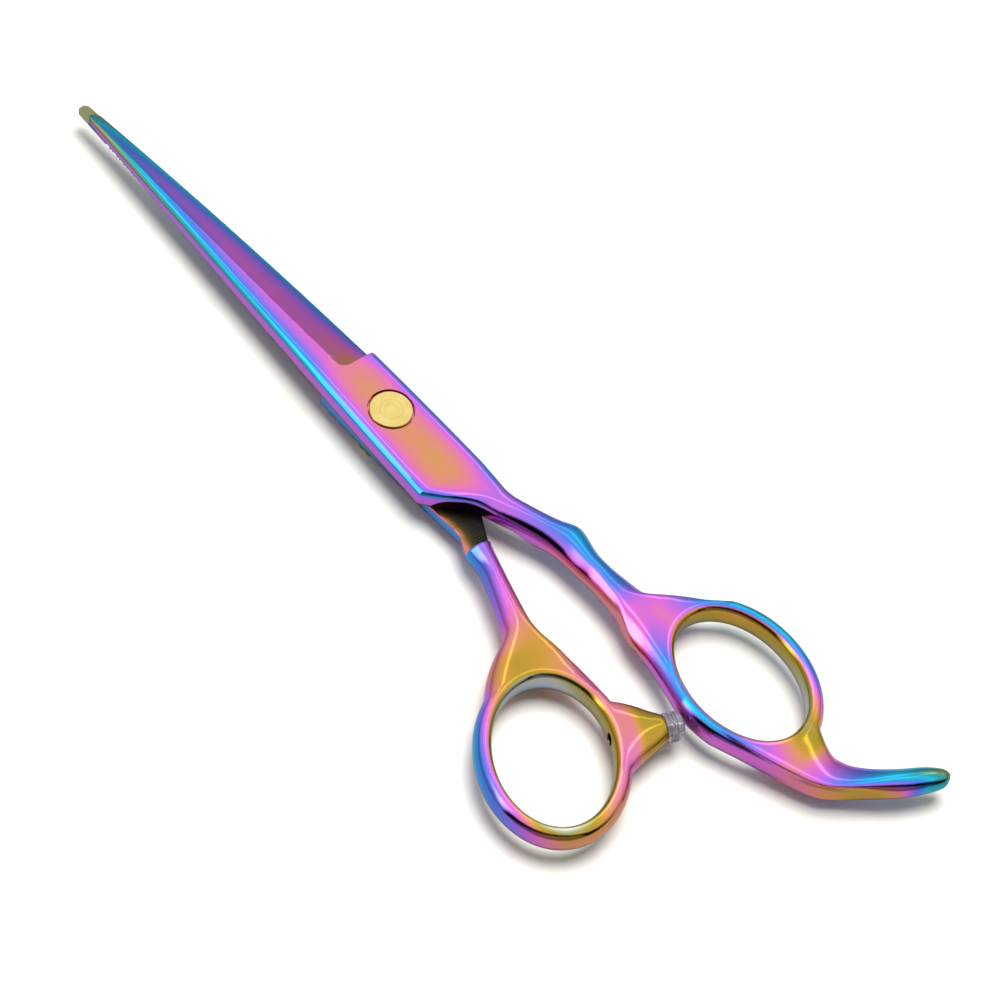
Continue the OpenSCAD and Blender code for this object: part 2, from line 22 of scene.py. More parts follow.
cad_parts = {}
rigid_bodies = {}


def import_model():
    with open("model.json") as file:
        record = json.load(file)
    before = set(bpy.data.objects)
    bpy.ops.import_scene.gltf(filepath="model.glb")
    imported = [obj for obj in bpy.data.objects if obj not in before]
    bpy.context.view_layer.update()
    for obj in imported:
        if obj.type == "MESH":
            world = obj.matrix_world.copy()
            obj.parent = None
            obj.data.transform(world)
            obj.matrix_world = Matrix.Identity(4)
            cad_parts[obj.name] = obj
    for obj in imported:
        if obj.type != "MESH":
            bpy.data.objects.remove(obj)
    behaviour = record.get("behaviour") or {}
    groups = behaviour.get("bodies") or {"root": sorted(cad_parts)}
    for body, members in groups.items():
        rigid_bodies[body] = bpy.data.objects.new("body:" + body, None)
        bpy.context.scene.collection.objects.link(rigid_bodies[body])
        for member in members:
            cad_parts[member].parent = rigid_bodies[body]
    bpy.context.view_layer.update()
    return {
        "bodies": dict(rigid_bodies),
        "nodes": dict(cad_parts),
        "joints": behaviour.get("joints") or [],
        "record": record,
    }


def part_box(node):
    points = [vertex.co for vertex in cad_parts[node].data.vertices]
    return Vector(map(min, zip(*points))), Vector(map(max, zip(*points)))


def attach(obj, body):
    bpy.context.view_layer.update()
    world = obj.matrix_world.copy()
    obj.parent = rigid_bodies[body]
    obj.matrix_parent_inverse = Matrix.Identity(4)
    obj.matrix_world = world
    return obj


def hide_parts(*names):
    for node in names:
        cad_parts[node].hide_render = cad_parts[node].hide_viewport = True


MM = 0.001
# Length of the plain blade from the pivot to its tip
PLAIN_BLADE_L = 72.4
# Where nearly all values of a noise lie
NOISE_SPAN = (0.3, 0.7)
log = logging.getLogger("shears")


class Side(Enum):
    """The bodies that move."""

    FINGER = "finger_side"
    THUMB = "thumb_side"
    DIAL = "dial"


class Slot(Enum):
    """The record's material slots."""

    STEEL = "coated_steel"
    BRASS = "brass_plated"
    SPRING = "spring_steel"
    NYLON = "nylon"
    RUBBER = "clear_rubber"


# ---- materials ------------------------------------------------------------------------------------


def colour(hex_value: str) -> tuple[float, float, float, float]:
    """Turns an sRGB hex colour into the linear one that shaders use.

    Args:
        hex_value: Six hex digits after a hash sign.

    Returns:
        Red, green, blue and an alpha of 1.
    """
    parts = [int(hex_value[i : i + 2], 16) / 255 for i in (1, 3, 5)]
    lin = [c / 12.92 if c <= 0.04045 else ((c + 0.055) / 1.055) ** 2.4 for c in parts]
    return (lin[0], lin[1], lin[2], 1.0)


@dataclass
class Graph:
    """A node tree that is being filled."""

    tree: bpy.types.NodeTree

    def add(self, kind: str, links: dict | None = None, **settings: object) -> bpy.types.Node:
        """Adds a node, sets it and links its inputs.

        Args:
            kind: The node's type, without the leading ShaderNode.
            links: Input name or number to an output socket or a plain value.
            settings: The node's own properties.

        Returns:
            The new node.
        """
        node = self.tree.nodes.new("ShaderNode" + kind)
        for name, value in settings.items():
            setattr(node, name, value)
        self.feed(node, links or {})
        return node

    def feed(self, node: bpy.types.Node, links: dict) -> None:
        """Links sockets to a node's inputs and sets the plain values.

        Args:
            node: The node.
            links: Input name or number to an output socket or a plain value.
        """
        for key, value in links.items():
            if isinstance(value, bpy.types.NodeSocket):
                self.tree.links.new(value, node.inputs[key])
            else:
                node.inputs[key].default_value = value

    def calc(self, operation: str, *values: object) -> bpy.types.NodeSocket:
        """Adds a Math node over sockets or numbers and gives its result."""
        return self.add("Math", dict(enumerate(values)), operation=operation).outputs[0]

    def span(
        self,
        value: bpy.types.NodeSocket,
        before: tuple[float, float] = (0.0, 1.0),
        after: tuple[float, float] = (0.0, 1.0),
    ) -> bpy.types.NodeSocket:
        """Carries a value from one range to another and holds it at the ends.

        Args:
            value: The value.
            before: Its range.
            after: The range that it gets.

        Returns:
            The carried value.
        """
        links = {0: value, 1: before[0], 2: before[1], 3: after[0], 4: after[1]}
        return self.add("MapRange", links).outputs[0]

    def cloud(self, place: bpy.types.NodeSocket, scale: float, detail: float) -> bpy.types.NodeSocket:
        """Adds a noise through space and gives its value."""
        return self.add("TexNoise", {"Vector": place, "Scale": scale, "Detail": detail}).outputs[0]

    def rings(self, place: bpy.types.NodeSocket, pitch: float, detail: float) -> bpy.types.NodeSocket:
        """Adds fine uneven rings about the pivot's axis.

        Args:
            place: Where on the piece.
            pitch: About how far apart the rings lie, in millimetres.
            detail: The noise's detail.

        Returns:
            The rings' value.
        """
        flat = self.add("VectorMath", {0: place, 1: (1.0, 1.0, 0.0)}, operation="MULTIPLY").outputs[0]
        away = self.add("VectorMath", {0: flat}, operation="LENGTH").outputs["Value"]
        links = {"W": away, "Scale": 1 / MM / pitch / 2, "Detail": detail}
        return self.add("TexNoise", links, noise_dimensions="1D").outputs[0]

    def relief(
        self, height: bpy.types.NodeSocket, strength: float, depth: float, **links: object
    ) -> bpy.types.NodeSocket:
        """Adds fine relief, its depth in millimetres, and gives the bent normal."""
        links = {"Strength": strength, "Distance": depth * MM, "Height": height, **links}
        return self.add("Bump", links).outputs[0]

    def ramp(self, value: bpy.types.NodeSocket, stops: list[tuple[float, str]]) -> bpy.types.NodeSocket:
        """Adds a colour ramp.

        Args:
            value: What drives the ramp.
            stops: Place and hex colour of each stop.

        Returns:
            The ramp's colour.
        """
        node = self.add("ValToRGB", {0: value})
        band = node.color_ramp
        while len(band.elements) < len(stops):
            band.elements.new(0.5)
        for element, (place, shade) in zip(band.elements, stops):
            element.position = place
            element.color = colour(shade)
        return node.outputs[0]

    def blend(self, share: object, first: object, second: object) -> bpy.types.NodeSocket:
        """Mixes two colours.

        Args:
            share: How much of the second, a socket or a number.
            first: A colour or the socket of one.
            second: A colour or the socket of one.

        Returns:
            The mixed colour.
        """
        node = self.add("Mix", {"Factor": share}, data_type="RGBA")
        ends = [s for s in node.inputs if s.type == "RGBA"]
        for end, value in zip(ends, (first, second)):
            if isinstance(value, bpy.types.NodeSocket):
                self.tree.links.new(value, end)
            else:
                end.default_value = value
        return next(s for s in node.outputs if s.type == "RGBA")


def new_surface(name: str) -> tuple[bpy.types.Material, Graph, bpy.types.Node]:
    """Starts a node material.

    Args:
        name: The finish's name.

    Returns:
        The material, its graph and its Principled shader.
    """
    material = bpy.data.materials.new(name)
    material.use_nodes = True
    graph = Graph(material.node_tree)
    shader = next(n for n in material.node_tree.nodes if n.type == "BSDF_PRINCIPLED")
    return material, graph, shader


@dataclass(frozen=True)
class FilmSteel:
    """Mirror-polished stainless steel under a vapour-deposited titanium film.

    The film is thinnest down inside the rings, where it looks silver and gold, and thickest along
    edges and tips, where it looks blue, then green. Where the two halves slide on each other the
    steel is ground and shows its grain, and its near-black colour there is also painted shade.
    """

    roughness: float = 0.09
    edge_radius: float = 0.2
    handle_radius: float = 0.45
    grain: float = 0.1
    ground_roughness: float = 0.34
    drift: float = 0.012
    stops: tuple[tuple[float, str], ...] = (
        (0.00, "#B8C2D4"),
        (0.06, "#C2C2B8"),
        (0.12, "#B4AE72"),
        (0.18, "#B49C34"),
        (0.24, "#D8A044"),
        (0.30, "#E49C6A"),
        (0.36, "#EA8C94"),
        (0.42, "#EC80B8"),
        (0.48, "#E274DC"),
        (0.54, "#C074EC"),
        (0.61, "#927AF2"),
        (0.68, "#5C84EE"),
        (0.75, "#38A0EE"),
        (0.82, "#30C4E4"),
        (0.88, "#2CA4B4"),
        (0.94, "#64A07C"),
        (1.00, "#94906C"),
    )

    def material(self) -> bpy.types.Material:
        """Builds the finish.

        Returns:
            The material, which reads the float attributes film, ground and soft.
        """
        material, g, shader = new_surface("titanium_film_on_polished_steel")
        film, ground, soft = (
            g.add("Attribute", attribute_name=name).outputs["Fac"] for name in ("film", "ground", "soft")
        )
        place = g.add("TexCoord").outputs["Object"]
        # The film drifts a little over a few millimetres
        moved = g.span(g.cloud(place, 120.0, 1.0), NOISE_SPAN, (-self.drift, self.drift))
        tint = g.ramp(g.calc("ADD", film, moved), list(self.stops))
        # The ground grain is drawn out along the sweep of the other half; its near-black colours are painted
        # shade as well as grain
        grain = g.rings(place, self.grain, 3.0)
        dark = g.ramp(grain, [(0.3, "#1A1B18"), (0.5, "#262822"), (0.72, "#3A3D30")])
        # The buffing wheel rounds the handles more than the blades
        buffed = g.span(soft, after=(self.edge_radius * MM, self.handle_radius * MM))
        rounded = g.add("Bevel", {"Radius": buffed}, samples=6).outputs[0]
        g.feed(shader, {
            "Base Color": g.blend(ground, tint, dark),
            "Roughness": g.span(ground, after=(self.roughness, self.ground_roughness)),
            "Normal": g.relief(g.calc("MULTIPLY", grain, ground), 0.35, 0.02, Normal=rounded),
            "Metallic": 1.0,
        })
        return material


@dataclass(frozen=True)
class TurnedBrass:
    """Pale brass plate on a face that was turned on a lathe, so fine rings catch the light."""

    roughness: float = 0.34
    sway: float = 0.06
    pitch: float = 0.16

    def material(self) -> bpy.types.Material:
        """Builds the finish.

        Returns:
            The material, with rings about the pivot axis.
        """
        material, g, shader = new_surface("turned_brass_plate")
        place = g.add("TexCoord").outputs["Object"]
        rings = g.rings(place, self.pitch, 2.0)
        half = g.calc("MULTIPLY", g.calc("ADD", rings, g.cloud(place, 420.0, 2.0)), 0.5)
        g.feed(shader, {
            "Base Color": g.ramp(half, [(0.3, "#D9BC62"), (0.5, "#EACF7C"), (0.7, "#F4E096")]),
            "Roughness": g.span(rings, NOISE_SPAN, (self.roughness - self.sway, self.roughness + self.sway)),
            "Normal": g.relief(rings, 0.25, 0.01),
            "Metallic": 1.0,
        })
        return material


@dataclass(frozen=True)
class BareMetal:
    """Plain metal with fine marks of how it was made: rolled strip or a cut thread."""

    name: str
    low: str
    high: str
    roughness: float
    grain: float
    sway: float = 0.05

    def material(self) -> bpy.types.Material:
        """Builds the finish.

        Returns:
            The material, clouded at the grain's size.
        """
        material, g, shader = new_surface(self.name)
        cloud = g.cloud(g.add("TexCoord").outputs["Object"], 1 / MM / self.grain, 3.0)
        g.feed(shader, {
            "Base Color": g.ramp(cloud, [(0.3, self.low), (0.7, self.high)]),
            "Roughness": g.span(cloud, NOISE_SPAN, (self.roughness - self.sway, self.roughness + self.sway)),
            "Normal": g.relief(cloud, 0.2, 0.01),
            "Metallic": 1.0,
        })
        return material


@dataclass(frozen=True)
class MouldedNylon:
    """Natural nylon off the mould: milky, slightly waxy, with a faint skin texture."""

    roughness: float = 0.42
    ior: float = 1.53

    def material(self) -> bpy.types.Material:
        """Builds the finish.

        Returns:
            The material.
        """
        material, g, shader = new_surface("moulded_natural_nylon")
        cloud = g.cloud(g.add("TexCoord").outputs["Object"], 900.0, 2.0)
        g.feed(shader, {
            "Base Color": g.ramp(cloud, [(0.3, "#DAD6C8"), (0.7, "#EDEAE0")]),
            "Normal": g.relief(cloud, 0.15, 0.01),
            "Roughness": self.roughness,
            "IOR": self.ior,
        })
        return material


@dataclass(frozen=True)
class ClearRubber:
    """Clear soft vinyl, moulded: smoky grey in its thick middle, with a wet-looking skin."""

    roughness: float = 0.06
    ior: float = 1.46
    transmission: float = 0.75

    def material(self) -> bpy.types.Material:
        """Builds the finish.

        Returns:
            The material.
        """
        material, g, shader = new_surface("clear_moulded_vinyl")
        cloud = g.cloud(g.add("TexCoord").outputs["Object"], 500.0, 2.0)
        g.feed(shader, {
            "Base Color": g.ramp(cloud, [(0.3, "#BEBBC2"), (0.7, "#D4D1D8")]),
            "Normal": g.relief(cloud, 0.06, 0.02),
            "Roughness": self.roughness,
            "IOR": self.ior,
            "Transmission Weight": self.transmission,
        })
        return material


# ---- how thick the film is ------------------------------------------------------------------------


def ease(t: np.ndarray) -> np.ndarray:
    """Clips to 0..1 and softens both ends."""
    t = np.clip(t, 0, 1)
    return t * t * (3 - 2 * t)


@dataclass(frozen=True)
class BarTints:
    """The film along a bar: on the wall that faces side, on the crest and on the wall across.

    It takes over from start on. The three lines give its value at each x, all in the shared frame.
    """

    start: float
    x: tuple[float, ...]
    low: tuple[float, ...]
    crest: tuple[float, ...]
    high: tuple[float, ...]
    side: tuple[float, float] = (0.0, -1.0)

    def film(self, p: np.ndarray, n: np.ndarray) -> np.ndarray:
        """Film on the bar.

        Args:
            p: Points, one row each.
            n: Their normals.

        Returns:
            One film value for each point.
        """
        low, crest, high = (np.interp(p[:, 0], self.x, v) for v in (self.low, self.crest, self.high))
        out = n[:, 0] * self.side[0] + n[:, 1] * self.side[1]
        up, down = np.clip(-out, 0, 1) ** 1.3, np.clip(out, 0, 1)
        return crest + up * (high - crest) + down * (low - crest)


@dataclass(frozen=True)
class RingTints:
    """The film round a ring, at even turns from its long axis: hole side, crest and outside."""

    centre: tuple[float, float]
    half: tuple[float, float]
    tilt: float
    inner: tuple[float, ...]
    crest: tuple[float, ...]
    outer: tuple[float, ...]
    ring_w: float = 2.9
    ring_t: float = 4.4
    hole_rise: float = 0.1
    reach: float = 0.36
    reach_fade: float = 0.2

    def own(self, p: np.ndarray, n: np.ndarray) -> tuple[np.ndarray, np.ndarray, np.ndarray]:
        """Places points on the ring.

        Args:
            p: Points, one row each.
            n: Their normals.

        Returns:
            Turn in degrees, distance outside the ring as a share of its size, and how far each
            normal faces outwards, from -1 to 1.
        """
        c, s = math.cos(math.radians(self.tilt)), math.sin(math.radians(self.tilt))
        dx, dy = p[:, 0] - self.centre[0], p[:, 1] - self.centre[1]
        u = (dx * c + dy * s) / (self.half[0] + self.ring_w / 2)
        v = (-dx * s + dy * c) / (self.half[1] + self.ring_w / 2)
        size = np.maximum(np.hypot(u, v), 1e-6)
        # Outward direction of the ellipse through each point
        gu, gv = u / (self.half[0] + self.ring_w / 2), v / (self.half[1] + self.ring_w / 2)
        length = np.maximum(np.hypot(gu, gv), 1e-9)
        nu, nv = n[:, 0] * c + n[:, 1] * s, -n[:, 0] * s + n[:, 1] * c
        return np.degrees(np.arctan2(v, u)) % 360, size - 1, (nu * gu + nv * gv) / length

    def film(self, p: np.ndarray, n: np.ndarray, middle: float) -> tuple[np.ndarray, np.ndarray]:
        """Film on the ring.

        Args:
            p: Points, one row each.
            n: Their normals.
            middle: Height of the ring's middle.

        Returns:
            One film value for each point, and how much each point belongs to the ring.
        """
        turn, beyond, out = self.own(p, n)
        stops = np.linspace(0, 360, len(self.crest) + 1)
        lines = (self.inner, self.crest, self.outer)
        inner, crest, outer = (np.interp(turn, stops, line + line[:1]) for line in lines)
        height = np.clip((p[:, 2] - middle) / self.ring_t + 0.5, 0, 1)
        hole = inner + self.hole_rise * height**3
        film = crest + np.clip(out, 0, 1) ** 1.2 * (outer - crest)
        facing = ease(-out / 0.6)
        film = film * (1 - facing) + hole * facing
        return film, ease((self.reach - beyond) / self.reach_fade)


@dataclass(frozen=True)
class TintMap:
    """Works out the film over one half, in the half's own frame with the cutting edge towards +Y.

    A rise is how much thicker the film gets at a line, and a fade how far from it that dies away.
    The ground face's table is for the plain blade and is stretched to the half's own blade.
    """

    ring: RingTints
    bars: tuple[BarTints, ...]
    wall_film: float
    middle: float
    blade_l: float = PLAIN_BLADE_L
    edge_inset: float = 0.0
    heel_x: float = 10.2
    arc_x: float = 12.2
    back_x: tuple[float, ...] = (-75.0, -10.2, 14.5, 17.1, 20.5, 26.0)
    back_y: tuple[float, ...] = (-5.3, -6.0, -5.8, -3.3, 0.4, 2.5)
    front_x: tuple[float, ...] = (-10.2, 14.5, 22.0, 26.0)
    front_y: tuple[float, ...] = (4.9, 6.35, 6.45, 7.5)
    edge_heel_y: float = 4.7
    edge_tip_y: float = -3.1
    edge_bow: float = 2.0
    land_heel: float = 4.4
    land_tip: float = 0.5
    flat_film: float = 0.25
    back_rise: float = 0.62
    back_fade: float = 1.75
    front_rise: float = 0.58
    front_fade: float = 2.1
    ground_x: tuple[float, ...] = (-72.4, -71, -69, -66, -61, -54, -45, -33, -20, -14, -12, -10)
    ground_film: tuple[float, ...] = (
        0.72, 0.64, 0.58, 0.54, 0.51, 0.48, 0.46, 0.45, 0.43, 0.38, 0.32, 0.24,
    )
    edge_rise: float = 0.38
    edge_fade: float = 1.6
    bar_blend: float = 7.0

    def along(self, x: np.ndarray) -> np.ndarray:
        """Share of the blade's length past the heel, 0 on the block and 1 at the tip."""
        return np.clip((-x - self.heel_x) / (self.blade_l - self.heel_x), 0, 1)

    def edge_y(self, x: np.ndarray) -> np.ndarray:
        """Follows the cutting edge, and the block's long side past the heel.

        Args:
            x: Places along the half.

        Returns:
            The line's height across the half at each place.
        """
        t = self.along(x)
        edge = self.edge_heel_y * (1 - t) + self.edge_tip_y * t + self.edge_bow * t * (1 - t)
        edge = edge - self.edge_inset * (1 - t**4)
        return np.where(x < -self.heel_x, edge, np.interp(x, self.front_x, self.front_y))

    def land_y(self, x: np.ndarray) -> np.ndarray:
        """Follows the line where the flat land along the spine ends.

        Args:
            x: Places along the half.

        Returns:
            The line's height across the half at each place.
        """
        t = self.along(x)
        back = np.interp(x, self.back_x, self.back_y)
        return back + self.land_heel + (self.land_tip - self.land_heel) * t**0.85

    def blade_film(self, p: np.ndarray, n: np.ndarray) -> np.ndarray:
        """Film over the block and the blade.

        Args:
            p: Points, one row each.
            n: Their normals.

        Returns:
            One film value for each point.
        """
        x, y = p[:, 0], p[:, 1]
        from_back = np.maximum(y - np.interp(x, self.back_x, self.back_y), 0)
        from_front = np.maximum(self.edge_y(x) - y, 0)
        flat = self.flat_film + self.back_rise * np.exp(-from_back / self.back_fade)
        flat = flat + self.front_rise * np.exp(-from_front / self.front_fade)
        # A little thicker out on the blade and at the shank's root
        flat = flat + 0.11 * ease((-x - 4) / 12) + 0.05 * ease((x - 13) / 6)
        # The ground face is bronze at the heel, violet for most of its length and teal at the tip
        ground = np.interp(x * PLAIN_BLADE_L / self.blade_l, self.ground_x, self.ground_film)
        ground = ground + self.edge_rise * np.exp(-from_front / self.edge_fade)
        ground = ground + 0.06 * np.exp(-np.maximum(y - self.land_y(x), 0) / 0.8)
        facet = (x < -self.arc_x + 2.6) & (n[:, 1] > 0.2) & (np.abs(n[:, 2]) > 0.5)
        top = np.where(facet, ground, flat)
        side = np.clip((0.55 - np.abs(n[:, 2])) / 0.4, 0, 1)
        return top * (1 - side) + self.wall_film * side

    def film(self, p: np.ndarray, n: np.ndarray, own: np.ndarray, own_n: np.ndarray) -> np.ndarray:
        """Film over the whole half.

        Args:
            p: Points in the shared frame.
            n: Normals in the shared frame.
            own: The points in the half's own frame.
            own_n: The normals in the half's own frame.

        Returns:
            One film value for each point.
        """
        film = self.blade_film(own, own_n)
        for bar in self.bars:
            share = ease((p[:, 0] - bar.start) / self.bar_blend)
            film = film * (1 - share) + bar.film(p, n) * share
        ring, share = self.ring.film(p, n, self.middle)
        return film * (1 - share) + ring * share


# ---- meshes ---------------------------------------------------------------------------------------


def finish_piece(bm: bmesh.types.BMesh, name: str, material: bpy.types.Material) -> bpy.types.Object:
    """Turns a bmesh in millimetres into a smooth object in metres.

    Args:
        bm: The mesh, which is freed.
        name: The piece's name.
        material: Its finish.

    Returns:
        The object, at the origin.
    """
    bmesh.ops.scale(bm, vec=(MM, MM, MM), verts=bm.verts)
    mesh = bpy.data.meshes.new(name)
    bm.to_mesh(mesh)
    bm.free()
    piece = bpy.data.objects.new(name, mesh)
    bpy.context.collection.objects.link(piece)
    mesh.materials.append(material)
    return piece


def smooth_by_angle(bm: bmesh.types.BMesh, degrees: float = 32.0) -> None:
    """Shades faces smooth and keeps the edges sharper than an angle sharp.

    Args:
        bm: The mesh.
        degrees: The angle.
    """
    for face in bm.faces:
        face.smooth = True
    for edge in bm.edges:
        edge.smooth = len(edge.link_faces) == 2 and edge.calc_face_angle(0) < math.radians(degrees)


def place_piece(piece: bpy.types.Object, side: Side, slot: Slot, *nodes: str) -> None:
    """Puts a piece on its body, in place of CAD nodes.

    Args:
        piece: The piece.
        side: The body that it rides on.
        slot: Its material slot. Not used.
        nodes: The CAD nodes that it stands for.
    """
    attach(piece, side.value)
    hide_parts(*nodes)
    log.info("%s: %d vertices, stands for %s", piece.name, len(piece.data.vertices), ", ".join(nodes))


def turned(profile: list[tuple[float, float]], steps: int = 96) -> bmesh.types.BMesh:
    """Turns a profile about the Z axis.

    Args:
        profile: Radius and height of each point, from the bottom at the axis to the top.
        steps: Faces round the axis.

    Returns:
        A closed mesh, normals outwards.
    """
    bm = bmesh.new()
    ring = [bm.verts.new((r, 0, z)) for r, z in profile]
    edges = [bm.edges.new(pair) for pair in zip(ring, ring[1:])]
    bmesh.ops.spin(
        bm, geom=ring + edges, cent=(0, 0, 0), axis=(0, 0, 1), dvec=(0, 0, 0),
        angle=math.tau, steps=steps, use_merge=True, use_duplicate=False,
    )
    bmesh.ops.remove_doubles(bm, verts=bm.verts, dist=1e-4)
    bmesh.ops.recalc_face_normals(bm, faces=bm.faces)
    return bm


@dataclass
class Refined:
    """A smoother, denser copy of a CAD node's mesh."""

    node: dict
    crease_angle: float = 24.0
    levels: int = 2
    longest: float = 1.3
    passes: int = 3
    ridge: Callable[[bmesh.types.BMesh], np.ndarray] | None = None

    def merged(self) -> bmesh.types.BMesh:
        """Copies the node's loose triangles into one closed mesh.

        Returns:
            The mesh, in millimetres, with triangles joined into quads where they lie flat.
        """
        bm = bmesh.new()
        bm.from_mesh(self.node.data)
        bmesh.ops.scale(bm, vec=(1 / MM, 1 / MM, 1 / MM), verts=bm.verts)
        bmesh.ops.remove_doubles(bm, verts=bm.verts, dist=2e-3)
        bmesh.ops.dissolve_degenerate(bm, edges=bm.edges, dist=1e-3)
        bmesh.ops.join_triangles(
            bm, faces=bm.faces, angle_face_threshold=math.radians(14), angle_shape_threshold=math.radians(120)
        )
        return bm

    def ridge_edges(self, bm: bmesh.types.BMesh) -> list[bmesh.types.BMEdge]:
        """Finds the edges of the shallow ridge that stays crisp.

        Args:
            bm: The mesh, in millimetres.

        Returns:
            Its edges that run along the ridge.
        """
        if self.ridge is None:
            return []
        bm.verts.index_update()
        near = self.ridge(bm)
        shallow = math.radians(7)
        return [
            e for e in bm.edges if all(near[v.index] for v in e.verts) and e.calc_face_angle(0) > shallow
        ]

    def build(self, name: str, material: bpy.types.Material) -> bpy.types.Object:
        """Smooths the copy between its creases and cuts long edges.

        Args:
            name: The piece's name.
            material: Its finish.

        Returns:
            The finished object.
        """
        bm = self.merged()
        crease = bm.edges.layers.float.new("crease_edge")
        for edge in bm.edges:
            edge[crease] = float(edge.calc_face_angle(0) > math.radians(self.crease_angle))
        for edge in self.ridge_edges(bm):
            edge[crease] = 1.0
        rough = finish_piece(bm, name + "_cage", material)
        subdivide = rough.modifiers.new("round", "SUBSURF")
        subdivide.levels = subdivide.render_levels = self.levels
        shape = rough.evaluated_get(bpy.context.evaluated_depsgraph_get())
        bm = bmesh.new()
        bm.from_mesh(shape.to_mesh())
        bpy.data.objects.remove(rough)
        bmesh.ops.scale(bm, vec=(1 / MM, 1 / MM, 1 / MM), verts=bm.verts)
        for _ in range(self.passes):
            long_edges = [e for e in bm.edges if e.calc_length() > self.longest]
            if not long_edges:
                break
            bmesh.ops.subdivide_edges(bm, edges=long_edges, cuts=1, use_grid_fill=True)
            bmesh.ops.triangulate(bm, faces=[f for f in bm.faces if len(f.verts) > 4])
        smooth_by_angle(bm)
        for edge in self.ridge_edges(bm):
            edge.smooth = False
        return finish_piece(bm, name, material)


# ---- sub-assemblies -------------------------------------------------------------------------------


@dataclass
class Half:
    """One steel half: blade, pivot block, shank and ring, all one forging."""

    node: str
    side: Side
    tint_map: TintMap
    closed_angle: float = 0.0
    mirrored: bool = False
    tip_x: float = -70.0
    handle_x: float = 18.0
    handle_run: float = 8.0

    def own_frame(self, p: np.ndarray) -> np.ndarray:
        """Turns points or directions of the shared frame into the half's own frame.

        Args:
            p: Points or directions, one row each.

        Returns:
            The same rows in the half's own frame.
        """
        if not self.mirrored:
            return p
        a = -math.radians(self.closed_angle)
        c, s = math.cos(a), math.sin(a)
        x, y = p[:, 0] * c - p[:, 1] * s, p[:, 0] * s + p[:, 1] * c
        return np.stack([x, -y, p[:, 2]], axis=1)

    def ridge(self, bm: bmesh.types.BMesh) -> np.ndarray:
        """Tells which vertices lie where the ground face meets the blade's flat.

        Args:
            bm: The forging's mesh, in millimetres.

        Returns:
            One truth value for each vertex.
        """
        own = self.own_frame(np.array([v.co[:] for v in bm.verts]))
        off = np.abs(own[:, 1] - self.tint_map.land_y(own[:, 0]))
        return (own[:, 0] < -self.tint_map.arc_x) & (off < 0.2)

    def build(self, frame: dict, steel: bpy.types.Material) -> bpy.types.Object:
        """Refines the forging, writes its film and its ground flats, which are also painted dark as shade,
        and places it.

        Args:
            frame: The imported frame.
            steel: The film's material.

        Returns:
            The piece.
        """
        piece = Refined(frame["nodes"][self.node], ridge=self.ridge).build(self.node + "_forging", steel)
        mesh = piece.data
        p, n = np.empty(len(mesh.vertices) * 3), np.empty(len(mesh.vertices) * 3)
        mesh.vertices.foreach_get("co", p)
        mesh.vertex_normals.foreach_get("vector", n)
        p, n = p.reshape(-1, 3) / MM, n.reshape(-1, 3)
        own, own_n = self.own_frame(p), self.own_frame(n)
        film = np.clip(self.tint_map.film(p, n, own, own_n), 0, 1)
        # The faces that slide on each other are ground, and are painted dark as shade too, with a brighter
        # line along the edge
        level = (np.abs(p[:, 2] - self.tint_map.middle) < 0.1) & (np.abs(n[:, 2]) > 0.3)
        tip = level & (p[:, 0] < self.tip_x)
        level &= ~tip
        inside = np.maximum(self.tint_map.edge_y(own[:, 0]) - own[:, 1], 0)
        ground = level * (1 - 0.85 * np.exp(-inside / 0.5))
        film = np.where(level, 0.2 + 0.14 * np.exp(-inside / 0.6), film)
        film = np.where(tip, 1.0, film)
        soft = ease((own[:, 0] - self.handle_x) / self.handle_run)
        for name, values in (("film", film), ("ground", ground), ("soft", soft)):
            mesh.attributes.new(name, "FLOAT", "POINT").data.foreach_set("value", values)
        place_piece(piece, self.side, Slot.STEEL, self.node)
        return piece


